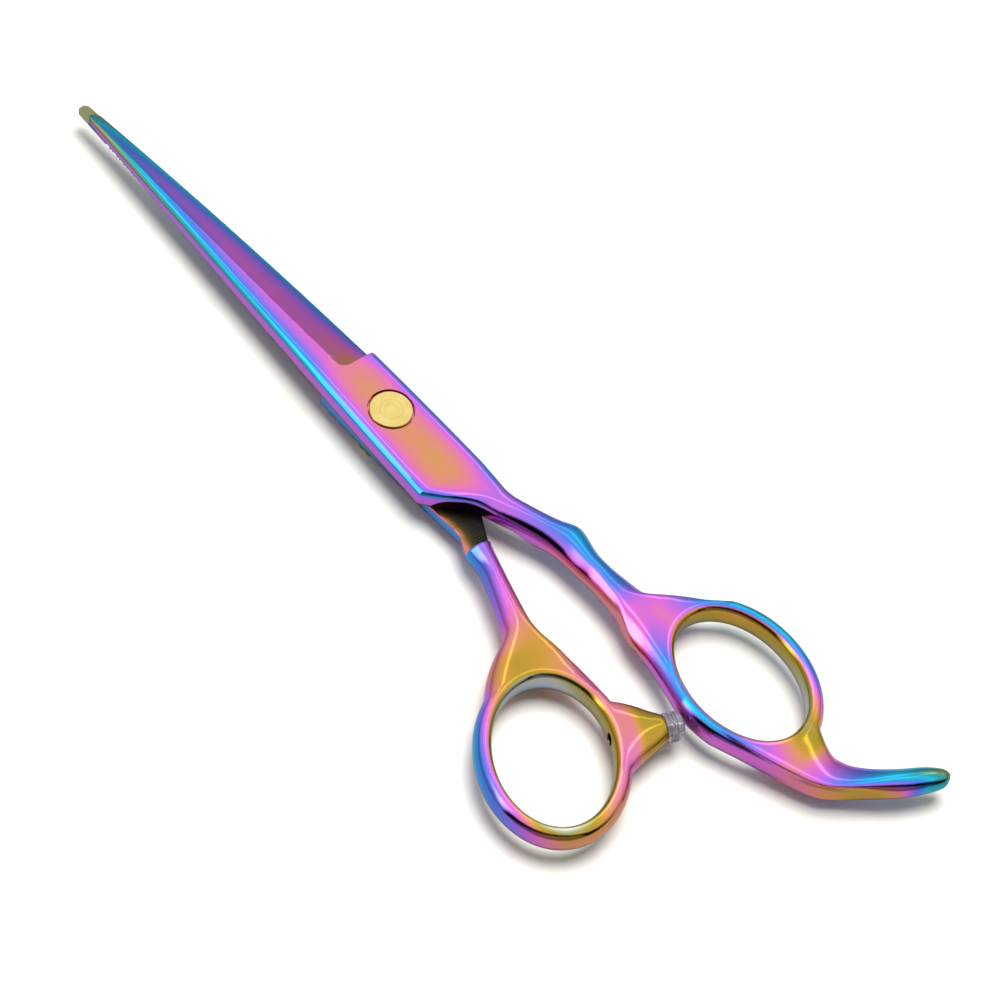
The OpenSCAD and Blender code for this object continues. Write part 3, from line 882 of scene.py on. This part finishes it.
@dataclass
class PivotStack:
    """The pivot screw with its flush head, and the bush and washers that it goes through."""

    head_r: float = 3.4
    head_t: float = 1.08
    shoulder_r: float = 2.2
    thread_r: float = 1.5
    thread_pitch: float = 0.5
    thread_depth: float = 0.22
    point_step: float = 0.25
    chamfer: float = 0.12
    crown: float = 0.01
    fit: float = 0.04
    seat_gap: float = 0.02
    spring_t: float = 0.3

    def screw(self, brass: bpy.types.Material) -> None:
        """Turns the screw: a flat head with a bevelled rim, a plain shoulder and a threaded end.

        Args:
            brass: Its finish.
        """
        low, high = (v.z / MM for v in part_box("pivot_screw"))
        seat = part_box("pivot_bush")[0].z / MM - self.seat_gap
        c, root, under = self.chamfer, self.thread_r - self.thread_depth, high - self.head_t
        profile = [(0, low), (self.thread_r - self.point_step, low)]
        z = low + c
        while z + self.thread_pitch < seat:
            profile += [(root, z), (self.thread_r, z + self.thread_pitch / 2)]
            z += self.thread_pitch
        profile += [
            (root, z), (root, seat), (self.shoulder_r - c, seat), (self.shoulder_r, seat + c),
            (self.shoulder_r, under), (self.head_r - c, under), (self.head_r, under + c),
            (self.head_r, high - c), (self.head_r - c, high - self.crown),
            (self.head_r * 0.6, high), (self.head_r * 0.2, high), (0, high),
        ]
        bm = turned(profile)
        smooth_by_angle(bm)
        place_piece(finish_piece(bm, "pivot_screw_turned", brass), Side.FINGER, Slot.BRASS, "pivot_screw")

    def ring(self, node: str, inner: float, side: Side, slot: Slot, material: bpy.types.Material) -> None:
        """Turns a flat ring that fills a CAD washer's box.

        Args:
            node: The CAD node.
            inner: Its bore's radius.
            side: The body that it rides on.
            slot: Its slot.
            material: Its finish.
        """
        low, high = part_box(node)
        outer, z0, z1 = high.x / MM, low.z / MM, high.z / MM
        c = min(self.chamfer / 2, (z1 - z0) / 4)
        loop = [
            (inner, z0 + c), (inner + c, z0), (outer - c, z0), (outer, z0 + c),
            (outer, z1 - c), (outer - c, z1), (inner + c, z1), (inner, z1 - c), (inner, z0 + c),
        ]
        bm = turned(loop)
        smooth_by_angle(bm)
        place_piece(finish_piece(bm, node + "_ring", material), side, slot, node)

    def spring(self, material: bpy.types.Material) -> None:
        """Turns the shallow cone that the dial presses flat.

        Args:
            material: Its finish.
        """
        low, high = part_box("spring_washer")
        outer, inner = high.x / MM, self.thread_r + 2 * self.fit
        z0, z1, t = low.z / MM, high.z / MM, self.spring_t
        loop = [(inner, z1 - t), (outer, z0), (outer, z0 + t), (inner, z1), (inner, z1 - t)]
        bm = turned(loop)
        smooth_by_angle(bm)
        cone = finish_piece(bm, "spring_washer_cone", material)
        place_piece(cone, Side.THUMB, Slot.SPRING, "spring_washer")

    def build(self) -> None:
        """Builds and dresses the whole stack."""
        nylon = MouldedNylon().material()
        strip = BareMetal("rolled_spring_strip", "#8C8E92", "#B4B6BA", 0.3, 0.4).material()
        self.screw(TurnedBrass().material())
        self.ring("pivot_bush", self.shoulder_r + self.fit, Side.THUMB, Slot.NYLON, nylon)
        self.ring("glide_washer", self.shoulder_r + self.fit, Side.FINGER, Slot.NYLON, nylon)
        self.ring("plain_washer", self.thread_r + 2 * self.fit, Side.THUMB, Slot.SPRING, strip)
        self.spring(strip)


@dataclass
class TensionDial:
    """The notched nut under the shears that sets how tightly the halves bear on each other."""

    node: str = "tension_dial"

    def build(self, frame: dict) -> None:
        """Copies the nut as it is, gives it turned brass and places it.

        Args:
            frame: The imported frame.
        """
        nut = Refined(frame["nodes"][self.node], levels=0, longest=math.inf)
        piece = nut.build("tension_dial_nut", TurnedBrass().material())
        place_piece(piece, Side.DIAL, Slot.BRASS, self.node)


@dataclass
class StopBumper:
    """The clear bumper on the thumb ring's lug, and the threaded stud that shows through it.

    The foot is where the lug ends, and stop_y is the line along the finger ring's near side, which
    the bumper's end stays clear of by gap.
    """

    foot: tuple[float, float, float]
    stop_y: float
    gap: float = 0.8
    lean: float = 21.0
    radius: float = 2.3
    rounding: float = 1.3
    stud_r: float = 1.0
    stud_hold: float = 3.2
    stud_reach: float = 2.4
    pitch: float = 0.5
    rib: float = 0.3
    foot_chamfer: float = 0.3
    thread_depth: float = 0.3
    point: float = 0.1
    fit: float = 0.04
    seat_gap: float = 0.02

    def placed(self, bm: bmesh.types.BMesh) -> bmesh.types.BMesh:
        """Turns a mesh made along Z so that it lies on the bumper's axis.

        Args:
            bm: The mesh.

        Returns:
            The same mesh, moved.
        """
        turn = Matrix.Rotation(-math.radians(self.lean), 4, "Z") @ Matrix.Rotation(-math.pi / 2, 4, "X")
        bmesh.ops.transform(bm, matrix=Matrix.Translation(Vector(self.foot)) @ turn, verts=bm.verts)
        return bm

    def plug(self, vinyl: bpy.types.Material) -> None:
        """Turns the bumper: a blind hole for the stud, ribs and a rounded free end.

        Args:
            vinyl: Its finish.
        """
        length = (self.stop_y - self.foot[1]) / math.cos(math.radians(self.lean)) - self.gap
        r, e, c = self.radius, self.rounding, self.foot_chamfer
        hole, bottom = self.stud_r + self.fit, self.stud_reach + self.fit
        profile = [(0, bottom), (hole, bottom), (hole, self.seat_gap), (r - c, self.seat_gap), (r, c)]
        z = c
        # The last rib may reach a little way into the rounded end
        while z + self.pitch < length - e + 0.4 * self.pitch:
            profile += [(r, z + 0.2 * self.pitch), (r - self.rib, z + 0.5 * self.pitch)]
            profile += [(r, z + 0.8 * self.pitch)]
            z += self.pitch
        steps = 6
        for k in range(steps + 1):
            a = math.pi / 2 * k / steps
            profile.append((r - e + e * math.cos(a), length - e + e * math.sin(a)))
        profile.append((0, length))
        bm = self.placed(turned(profile, 64))
        smooth_by_angle(bm, 50)
        place_piece(finish_piece(bm, "bumper_plug", vinyl), Side.THUMB, Slot.RUBBER, "bumper")

    def stud(self, steel: bpy.types.Material) -> None:
        """Turns the stud and winds its thread.

        Args:
            steel: Its finish.
        """
        bm = bmesh.new()
        root = self.stud_r - self.thread_depth
        flanks = ((root, 0.0), (self.stud_r, 0.4), (root, 0.8))
        start = [bm.verts.new((r, 0, share * self.pitch)) for r, share in flanks]
        edges = [bm.edges.new(pair) for pair in zip(start, start[1:])]
        turns = (self.stud_hold + self.stud_reach - self.pitch) / self.pitch
        steps = int(turns * 24)
        bmesh.ops.spin(
            bm, geom=start + edges, cent=(0, 0, 0), axis=(0, 0, 1), dvec=(0, 0, self.pitch * turns / steps),
            angle=math.tau * turns, steps=steps, use_merge=False, use_duplicate=False,
        )
        bmesh.ops.holes_fill(bm, edges=bm.edges)
        core_r, end = root + self.thread_depth / 4, turns * self.pitch + self.pitch
        core = turned([(0, 0), (root, 0), (core_r, self.point), (core_r, end), (0, end)], 32)
        mesh = bpy.data.meshes.new("core")
        core.to_mesh(mesh)
        core.free()
        bm.from_mesh(mesh)
        bpy.data.meshes.remove(mesh)
        bmesh.ops.translate(bm, vec=(0, 0, -self.stud_hold), verts=bm.verts)
        bmesh.ops.recalc_face_normals(bm, faces=bm.faces)
        self.placed(bm)
        smooth_by_angle(bm, 40)
        place_piece(finish_piece(bm, "bumper_stud_thread", steel), Side.THUMB, Slot.SPRING, "bumper_stud")

    def build(self) -> None:
        """Builds and dresses the bumper and its stud."""
        self.plug(ClearRubber().material())
        self.stud(BareMetal("cut_stainless_thread", "#B0B0B4", "#D8D8DC", 0.2, 0.3).material())


# ---- studio ---------------------------------------------------------------------------------------


@dataclass
class Studio:
    """A pale table, a bright tent with a dark gap and two lamps in it, a key lamp and the camera."""

    target: tuple[float, float, float]
    azimuth: float = 39.83
    elevation: float = 55.117
    roll: float = 14.223
    distance: float = 650.0
    lens: float = 155.57
    key_azimuth: float = 196.0
    key_elevation: float = 83.0
    key_power: float = 9.0
    key_size: float = 0.6
    key_distance: float = 900.0
    table_half: float = 3000.0
    table_drop: float = 0.02
    ring_way: tuple[float, float, float] = (-0.366, 0.439, 0.82)
    ring_middle: float = 0.972
    ring_half: float = 0.009
    ring_core: float = 0.002
    ring_power: float = 1.4
    strip_x: float = -0.366
    strip_half: float = 0.14
    strip_core: float = 0.03
    strip_power: float = 2.0
    fill: float = 0.6

    @staticmethod
    def way(azimuth: float, elevation: float) -> Vector:
        """Turns two angles into a direction.

        Args:
            azimuth: Angle from -Y towards +X, in degrees.
            elevation: Angle above the table, in degrees.

        Returns:
            A direction of length 1.
        """
        a, e = math.radians(azimuth), math.radians(elevation)
        return Vector((math.sin(a) * math.cos(e), -math.cos(a) * math.cos(e), math.sin(e)))

    def camera(self) -> None:
        """Sets the camera on its stand."""
        back = self.way(self.azimuth, self.elevation)
        a, r = math.radians(self.azimuth), math.radians(self.roll)
        right = Vector((math.cos(a), math.sin(a), 0))
        up = back.cross(right)
        right, up = right * math.cos(r) + up * math.sin(r), up * math.cos(r) - right * math.sin(r)
        data = bpy.data.cameras.new("camera")
        data.lens, data.sensor_width = self.lens, 36.0
        data.clip_start, data.clip_end = 0.05, 20.0
        camera = bpy.data.objects.new("camera", data)
        where = (Vector(self.target) + back * self.distance) * MM
        camera.matrix_world = Matrix.Translation(where) @ Matrix((right, up, back)).transposed().to_4x4()
        bpy.context.collection.objects.link(camera)
        bpy.context.scene.camera = camera

    def table(self) -> None:
        """Lays the pale table top, kept greyer in the mirror finish than it looks."""
        material, g, shader = new_surface("matt_white_card")
        place = g.add("TexCoord").outputs["Object"]
        bright = g.ramp(g.cloud(place, 300.0, 2.0), [(0.3, "#F9F6EE"), (0.7, "#FCFAF3")])
        mirrored = g.add("LightPath").outputs["Is Glossy Ray"]
        shade = g.blend(mirrored, bright, colour("#B4B4B6"))
        g.feed(shader, {"Base Color": shade, "Roughness": 1.0, "Specular IOR Level": 0.0})
        bm = bmesh.new()
        bmesh.ops.create_grid(bm, x_segments=1, y_segments=1, size=self.table_half)
        bmesh.ops.translate(bm, vec=(0, 0, -self.table_drop), verts=bm.verts)
        finish_piece(bm, "table", material)

    @staticmethod
    def tent(g: Graph, way: bpy.types.NodeSocket) -> bpy.types.NodeSocket:
        """Makes the tent: bright above, a dark gap lower on the near side, grey at the foot.

        Args:
            g: The world's graph.
            way: Which way a ray goes.

        Returns:
            The tent's colour.
        """
        x, y, z = g.add("SeparateXYZ", {0: way}).outputs[:3]
        lifted = g.calc("MULTIPLY_ADD", g.calc("MAXIMUM", y, 0.0), 0.9, z)
        lifted = g.calc("ADD", lifted, g.span(x, (-0.36, -0.14), (0.9, 0.0)))
        ahead = g.span(y, (0.2, -0.05), (0.0, -0.5))
        right = g.span(x, (-0.25, 0.75))
        lifted = g.calc("MULTIPLY_ADD", right, ahead, lifted)
        gap = g.ramp(lifted, [(0.03, "#B4B4B6"), (0.09, "#141418"), (0.60, "#0C0C10"), (0.76, "#FFFFFF")])
        walls = g.ramp(z, [(0.0, "#AAAAAC"), (0.25, "#B0B0B2"), (0.5, "#D4D4D4"), (0.75, "#FCFCFC")])
        return g.add("VectorMath", {0: gap, 1: walls}, operation="MULTIPLY").outputs[0]

    def lamps(self, g: Graph, way: bpy.types.NodeSocket) -> bpy.types.NodeSocket:
        """Makes the strip lamp on the near side and the ring lamp overhead.

        Args:
            g: The world's graph.
            way: Which way a ray goes.

        Returns:
            How bright the two lamps are.
        """
        x, y, z = g.add("SeparateXYZ", {0: way}).outputs[:3]
        aside = g.calc("ABSOLUTE", g.calc("ADD", x, -self.strip_x))
        strip = g.span(aside, (self.strip_half, self.strip_core), (0.0, self.strip_power))
        strip = g.calc("MULTIPLY", strip, g.span(y, (0.05, -0.15)))
        strip = g.calc("MULTIPLY", strip, g.span(z, (0.2, 0.45)))
        # The ring stands round the way that a level flat mirrors to the camera, so flats miss it and
        # faces some seven degrees off level show it
        near = g.add("VectorMath", {0: way, 1: self.ring_way}, operation="DOT_PRODUCT").outputs["Value"]
        off = g.calc("ABSOLUTE", g.calc("SUBTRACT", near, self.ring_middle))
        ring = g.span(off, (self.ring_half, self.ring_core), (0.0, self.ring_power))
        return g.calc("ADD", strip, ring)

    def sky(self) -> None:
        """Lights the set with the tent and its lamps, plain for the camera and dimmed for matt faces."""
        world = bpy.data.worlds.new("softbox_tent")
        bpy.context.scene.world = world
        world.use_nodes = True
        g = Graph(world.node_tree)
        node = next(n for n in world.node_tree.nodes if n.type == "BACKGROUND")
        way = g.add("TexCoord").outputs["Generated"]
        links = {0: self.tent(g, way), 1: self.lamps(g, way)}
        shade = g.add("VectorMath", links, operation="ADD").outputs[0]
        path = g.add("LightPath")
        backdrop = g.blend(path.outputs["Is Camera Ray"], shade, colour("#F4F4F4"))
        fill = g.span(path.outputs["Is Diffuse Ray"], after=(1.0, self.fill))
        g.feed(node, {"Color": backdrop, "Strength": fill})

    def key(self) -> None:
        """Hangs the key lamp, which the mirror finish doesn't show."""
        data = bpy.data.lights.new("key", "AREA")
        data.shape, data.size, data.energy = "DISK", self.key_size, self.key_power
        lamp = bpy.data.objects.new("key", data)
        way = self.way(self.key_azimuth, self.key_elevation)
        lamp.location = (Vector(self.target) + way * self.key_distance) * MM
        lamp.rotation_mode = "QUATERNION"
        lamp.rotation_quaternion = way.to_track_quat("Z", "Y")
        lamp.visible_glossy = False
        bpy.context.collection.objects.link(lamp)

    def build(self) -> None:
        """Sets up the whole studio."""
        self.camera()
        self.table()
        self.sky()
        self.key()
        bpy.context.scene.view_settings.view_transform = "Standard"


# ---- the shears -----------------------------------------------------------------------------------

FINGER_SHANK = BarTints(
    start=16.5,
    x=(18.0, 24.9, 29.4, 33.0, 37.0, 42.8, 47.8, 52.0),
    low=(0.52, 0.50, 0.46, 0.40, 0.37, 0.36, 0.36, 0.36),
    crest=(0.46, 0.56, 0.66, 0.76, 0.76, 0.71, 0.49, 0.46),
    high=(0.66, 0.70, 0.72, 0.82, 0.74, 0.70, 0.54, 0.58),
)
FINGER_REST = BarTints(
    start=76.0,
    x=(80.0, 82.5, 85.2, 88.0, 90.7, 93.1, 94.8, 96.5),
    low=(0.42, 0.40, 0.36, 0.27, 0.21, 0.20, 0.33, 0.84),
    crest=(0.36, 0.36, 0.48, 0.62, 0.77, 0.84, 0.94, 0.98),
    high=(0.17, 0.18, 0.38, 0.57, 0.74, 0.86, 0.95, 1.00),
    side=(0.75, -0.66),
)
THUMB_SHANK = BarTints(
    start=16.5,
    x=(18.0, 26.0, 29.7, 33.7, 37.6, 41.4, 44.7, 48.0),
    low=(0.74, 0.76, 0.70, 0.63, 0.56, 0.46, 0.44, 0.46),
    crest=(0.46, 0.60, 0.56, 0.49, 0.43, 0.31, 0.25, 0.28),
    high=(0.40, 0.44, 0.46, 0.41, 0.34, 0.20, 0.19, 0.24),
    side=(-0.31, -0.95),
)
THUMB_LUG = BarTints(
    start=54.0,
    x=(60.0, 70.0),
    low=(0.19, 0.19),
    crest=(0.18, 0.20),
    high=(0.24, 0.40),
)
# Every 20 degrees from the end of the hole's long axis that faces +X
FINGER_RING = RingTints(
    centre=(66.0, 15.5), half=(12.0, 8.5), tilt=-2.0,
    inner=(
        0.08, 0.04, 0.02, 0.08, 0.13, 0.15, 0.17, 0.20, 0.15,
        0.15, 0.14, 0.08, 0.02, 0.00, 0.00, 0.02, 0.04, 0.06,
    ),
    crest=(
        0.20, 0.16, 0.36, 0.58, 0.74, 0.82, 0.85, 0.80, 0.75,
        0.58, 0.42, 0.56, 0.78, 0.86, 0.87, 0.84, 0.62, 0.46,
    ),
    outer=(
        0.28, 0.17, 0.47, 0.68, 0.80, 0.85, 0.88, 0.84, 0.78,
        0.60, 0.44, 0.56, 0.48, 0.50, 0.47, 0.46, 0.46, 0.48,
    ),
)
THUMB_RING = RingTints(
    centre=(60.6, -16.3), half=(12.4, 9.0), tilt=-32.0,
    inner=(
        0.02, 0.02, 0.08, 0.11, 0.13, 0.14, 0.12, 0.10, 0.05,
        0.00, 0.00, 0.02, 0.03, 0.03, 0.05, 0.03, 0.02, 0.01,
    ),
    crest=(
        0.05, 0.14, 0.31, 0.40, 0.43, 0.36, 0.36, 0.40, 0.34,
        0.24, 0.20, 0.26, 0.42, 0.55, 0.62, 0.60, 0.44, 0.16,
    ),
    outer=(
        0.30, 0.30, 0.30, 0.32, 0.42, 0.24, 0.40, 0.44, 0.40,
        0.28, 0.24, 0.42, 0.68, 0.79, 0.76, 0.70, 0.62, 0.46,
    ),
)


def main() -> None:
    """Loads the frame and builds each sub-assembly in order."""
    logging.basicConfig(level=logging.INFO, format="%(name)s %(message)s")
    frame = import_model()
    steel = FilmSteel().material()
    low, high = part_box("glide_washer")
    middle = (low.z + high.z) / 2 / MM
    Studio(target=(19.769, 5.267, middle)).build()
    finger = TintMap(FINGER_RING, bars=(FINGER_SHANK, FINGER_REST), wall_film=0.52, middle=middle)
    thumb = TintMap(
        THUMB_RING, bars=(THUMB_SHANK, THUMB_LUG), wall_film=0.74, middle=middle,
        blade_l=75.0, edge_inset=0.9,
    )
    Half("finger_half", Side.FINGER, finger).build(frame, steel)
    Half("thumb_half", Side.THUMB, thumb, closed_angle=6.6, mirrored=True).build(frame, steel)
    PivotStack().build()
    TensionDial().build(frame)
    stop_y = FINGER_RING.centre[1] - FINGER_RING.half[1] - FINGER_RING.ring_w
    StopBumper(foot=(66.1, 0.6, middle), stop_y=stop_y).build()


if __name__ == "__main__":
    main()
